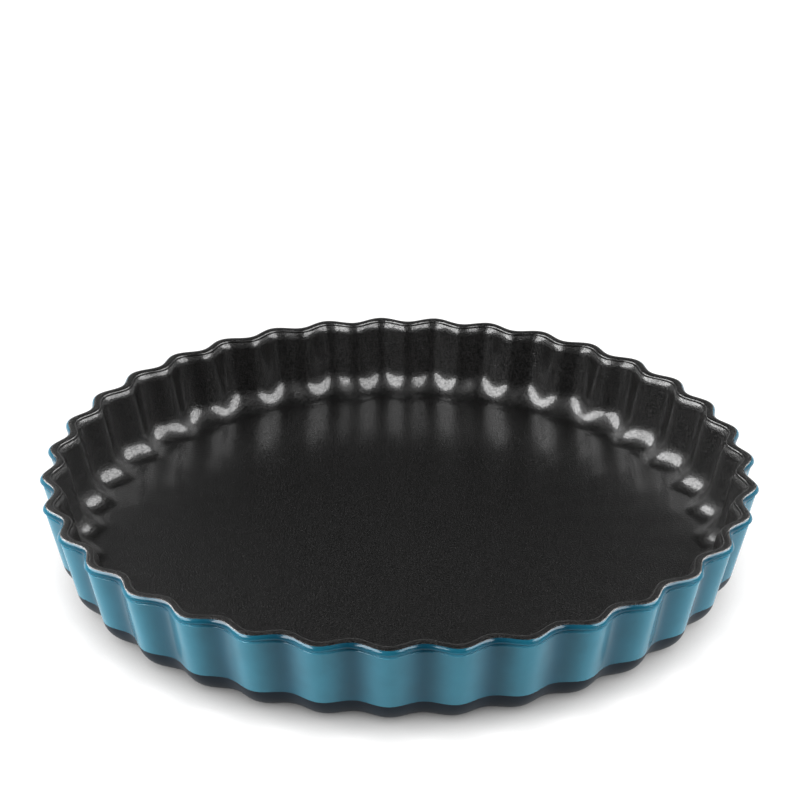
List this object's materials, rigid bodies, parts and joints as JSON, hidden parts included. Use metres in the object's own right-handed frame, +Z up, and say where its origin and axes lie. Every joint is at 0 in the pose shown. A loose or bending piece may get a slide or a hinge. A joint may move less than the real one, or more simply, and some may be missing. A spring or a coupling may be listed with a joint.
{
  "type": "fluted pie dish",
  "caption": "Round shallow pie dish with a fluted, outward-leaning wall, a stepped lip and a rounded base corner; dark lining inside, teal lacquer outside.",
  "frame": {"origin": "centre of the flat foot that the dish stands on", "axes": "+Z up along the dish's axis, towards the open side; a flute crest points to -Y"},
  "size_m": [0.2796, 0.2794, 0.0355],
  "materials": {
    "cast_aluminium": "satin",
    "black_base_coat": "satin",
    "teal_lacquer": "gloss",
    "black_nonstick": "satin"
  },
  "bodies": {
    "root": {"cast_shell": "cast_aluminium", "base_corner_coat": "black_base_coat", "outer_lacquer": "teal_lacquer", "nonstick_lining": "black_nonstick"}
  },
  "joints": []
}
